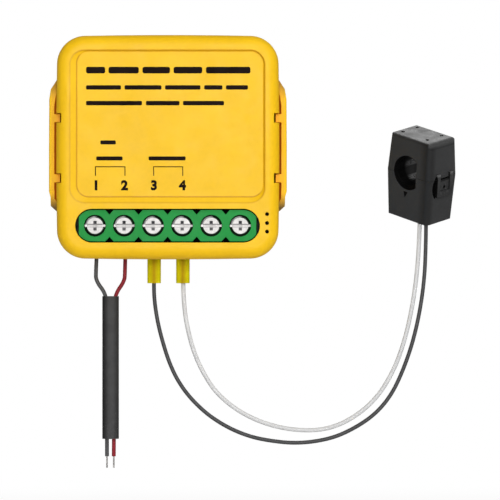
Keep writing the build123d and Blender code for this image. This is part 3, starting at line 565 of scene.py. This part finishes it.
def spline_length(pts):
    """Length of the smooth line through a route, measured on its curve."""
    data = bpy.data.curves.new("measure", "CURVE")
    data.dimensions, data.resolution_u = "3D", 24
    sp = data.splines.new("NURBS")
    sp.points.add(len(pts) - 1)
    for q, p in zip(sp.points, pts):
        q.co = (p[0] / 1000, p[1] / 1000, p[2] / 1000, 1.0)
    sp.order_u, sp.use_endpoint_u = 3, True
    o = bpy.data.objects.new("measure", data)
    scene.collection.objects.link(o)
    me = bpy.data.meshes.new_from_object(o)
    v = [x.co.copy() for x in me.vertices]
    total = sum((b - a).length for a, b in zip(v, v[1:]))
    bpy.data.objects.remove(o)
    bpy.data.curves.remove(data)
    bpy.data.meshes.remove(me)
    return total


def lead(name, pts, d_mm, mat, node):
    data = bpy.data.curves.new(name, "CURVE")
    data.dimensions = "3D"
    data.resolution_u = 12
    data.bevel_depth = d_mm / 2000
    data.bevel_resolution = 6
    data.use_fill_caps = True
    sp = data.splines.new("NURBS")
    sp.points.add(len(pts) - 1)
    for q, p in zip(sp.points, pts):
        q.co = (p[0] / 1000, p[1] / 1000, p[2] / 1000, 1.0)
    sp.order_u = 3
    sp.use_endpoint_u = True
    sp.use_smooth = True
    o = bpy.data.objects.new(name, data)
    scene.collection.objects.link(o)
    data.materials.append(mat.m)
    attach(o, "module")
    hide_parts(node)
    round(spline_length(pts), 4)
    return o


lead("live_lead", LIVE, 0.70, CORE_DARK, "live_core")
lead("neutral_lead", NEUTRAL, 0.70, CORE_RED, "neutral_core")
lead("clamp_lead_dark", DARK, 0.70, LEAD_DARK, "ct_lead_dark")
lead("clamp_lead_light", LIGHT, 0.76, LEAD_LIGHT, "ct_lead_light")


# ------------------------------------------------------------------ generic printing on the panel
PANEL_Y = -17.6       # panel face, mm


def ink_piece(name, quads=(), glyphs=()):
    """Thin printed marks on the panel: quads are (px0, py0, px1, py1) boxes."""
    bm = bmesh.new()
    y0, y1 = PANEL_Y / 1000, (PANEL_Y - 0.012) / 1000
    for x0, z0, x1, z1 in quads:
        a, b = at_px(x0, z0, PANEL_Y), at_px(x1, z1, PANEL_Y)
        w, h = abs(b.x - a.x), abs(b.z - a.z)
        r = min(w, h) * 0.28
        ring = []
        for cx, cz, start in ((max(a.x, b.x) - r, max(a.z, b.z) - r, 0), (min(a.x, b.x) + r, max(a.z, b.z) - r, 90),
                              (min(a.x, b.x) + r, min(a.z, b.z) + r, 180), (max(a.x, b.x) - r, min(a.z, b.z) + r, 270)):
            for k in range(4):
                t = math.radians(start + 30 * k)
                ring.append((cx + r * math.cos(t), cz + r * math.sin(t)))
        low = [bm.verts.new((x, y0, z)) for x, z in ring]
        top = [bm.verts.new((x, y1, z)) for x, z in ring]
        bm.faces.new(top)
        for i in range(len(ring)):
            j = (i + 1) % len(ring)
            bm.faces.new((low[i], low[j], top[j], top[i]))
    bmesh.ops.recalc_face_normals(bm, faces=bm.faces)
    me = bpy.data.meshes.new(name)
    bm.to_mesh(me)
    bm.free()
    o = bpy.data.objects.new(name, me)
    scene.collection.objects.link(o)
    me.materials.append(INK.m)
    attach(o, "module")
    return o


marks = []
for top, bottom, runs in (
    (66.8, 73.4, [(86.0, 105.2), (108.5, 138.8), (142.5, 170.0), (173.6, 202.2), (206.0, 250.4)]),
    (85.2, 89.6, [(86.0, 121.0), (124.5, 161.5), (165.0, 200.5), (204.2, 222.5), (226.0, 248.0)]),
    (100.9, 105.3, [(86.0, 142.0), (145.9, 179.5), (183.0, 224.0)]),
    (140.4, 144.4, [(100.4, 115.8)]),
    (156.4, 160.4, [(96.2, 122.6), (148.6, 185.6)]),
):
    marks += [(a, top, b, bottom) for a, b in runs]
ink_piece("printed_dashes", marks)
LINE = 0.9
ink_piece("printed_brackets", [
    (95.0, 166.3, 125.4, 166.3 + LINE), (95.0, 166.3, 95.0 + LINE, 175.8), (125.4 - LINE, 166.3, 125.4, 175.8),
    (153.2, 166.3, 183.2, 166.3 + LINE), (153.2, 166.3, 153.2 + LINE, 175.8), (183.2 - LINE, 166.3, 183.2, 175.8),
])


def number(text, px, py, height_px):
    data = bpy.data.curves.new(f"number_{text}", "FONT")
    data.body, data.align_x, data.align_y = text, "CENTER", "CENTER"
    data.extrude = 0.006 / 1000
    data.offset = 0.12 / 1000
    data.size = height_px / S / 1000 / 0.70
    data.resolution_u = 8
    o = bpy.data.objects.new(f"terminal_number_{text}", data)
    scene.collection.objects.link(o)
    o.rotation_euler = (math.radians(90), 0, 0)
    o.location = at_px(px, py, PANEL_Y - 0.006)
    data.materials.append(INK.m)
    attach(o, "module")


for t, px in (("1", 96.0), ("2", 124.5), ("3", 154.0), ("4", 182.5)):
    number(t, px, 185.8, 9.0)


# ------------------------------------------------------------------ floor and light
FLOOR_Z = -0.088


def floor():
    bm = bmesh.new()
    bmesh.ops.create_grid(bm, x_segments=4, y_segments=4, size=4.0)
    me = bpy.data.meshes.new("studio_floor")
    bm.to_mesh(me)
    bm.free()
    o = bpy.data.objects.new("studio_floor", me)
    o.location = (0.0144, 0, FLOOR_Z)
    scene.collection.objects.link(o)
    m = bpy.data.materials.new("studio_floor")
    m.use_nodes = True
    t = m.node_tree
    b = t.nodes["Principled BSDF"]
    b.inputs["Base Color"].default_value = (0.86, 0.86, 0.86, 1)
    b.inputs["Roughness"].default_value = 0.7
    b.inputs["Specular IOR Level"].default_value = 0.2
    co = t.nodes.new("ShaderNodeTexCoord")
    ln = t.nodes.new("ShaderNodeVectorMath")
    ln.operation = "LENGTH"
    mr = t.nodes.new("ShaderNodeMapRange")
    mr.interpolation_type = "SMOOTHSTEP"
    for i, v in ((1, 0.12), (2, 0.42), (3, 0.35), (4, 1.0)):
        mr.inputs[i].default_value = v
    em = t.nodes.new("ShaderNodeEmission")
    em.inputs["Color"].default_value = (1, 1, 1, 1)
    em.inputs["Strength"].default_value = 1.0
    mx = t.nodes.new("ShaderNodeMixShader")
    t.links.new(co.outputs["Object"], ln.inputs[0])
    t.links.new(ln.outputs["Value"], mr.inputs[0])
    seen_ray = t.nodes.new("ShaderNodeLightPath")
    gate = t.nodes.new("ShaderNodeMath")
    gate.operation = "MULTIPLY"
    t.links.new(mr.outputs[0], gate.inputs[0])
    t.links.new(seen_ray.outputs["Is Camera Ray"], gate.inputs[1])
    t.links.new(gate.outputs[0], mx.inputs[0])
    t.links.new(b.outputs[0], mx.inputs[1])
    t.links.new(em.outputs[0], mx.inputs[2])
    t.links.new(mx.outputs[0], t.nodes["Material Output"].inputs["Surface"])
    me.materials.append(m)


floor()

world = bpy.data.worlds.new("studio")
scene.world = world
world.use_nodes = True
wt = world.node_tree
bg = wt.nodes["Background"]
bg.inputs["Color"].default_value = (1, 1, 1, 1)
bg.inputs["Strength"].default_value = 0.22
seen = wt.nodes.new("ShaderNodeBackground")
seen.inputs["Color"].default_value = (1, 1, 1, 1)
seen.inputs["Strength"].default_value = 1.0
lp = wt.nodes.new("ShaderNodeLightPath")
wm = wt.nodes.new("ShaderNodeMixShader")
wt.links.new(lp.outputs["Is Camera Ray"], wm.inputs[0])
wt.links.new(bg.outputs[0], wm.inputs[1])
wt.links.new(seen.outputs[0], wm.inputs[2])
wt.links.new(wm.outputs[0], wt.nodes["World Output"].inputs["Surface"])


def area(name, loc, target, size, power, only=None):
    d = bpy.data.lights.new(name, "AREA")
    d.shape, d.size, d.energy = "DISK", size, power
    o = bpy.data.objects.new(name, d)
    o.location = loc
    o.rotation_euler = (Vector(target) - Vector(loc)).to_track_quat("-Z", "Y").to_euler()
    scene.collection.objects.link(o)
    if only:
        lit = bpy.data.collections.new(name + "_lit")
        for n in only:
            lit.objects.link(N[n])
        o.light_linking.receiver_collection = lit


area("front", (0.06, -0.95, 0.16), (0.012, 0, -0.01), 0.55, 5.2)
area("key", (0.42, -0.55, 0.52), (0.012, 0, -0.01), 0.40, 1.7)
area("back", (-0.05, 0.95, 0.0), (0.012, 0, -0.01), 0.55, 4.0)
area("clamp_top", (0.06, 0.28, 0.36), (0.045, -0.008, 0.0), 0.22, 1.15, ["ct_base_case", "ct_jaw_case", "ct_latch"])

scene.view_settings.view_transform = "Standard"
scene.view_settings.look = "None"
scene.view_settings.exposure = 0.0
scene.view_settings.gamma = 1.0
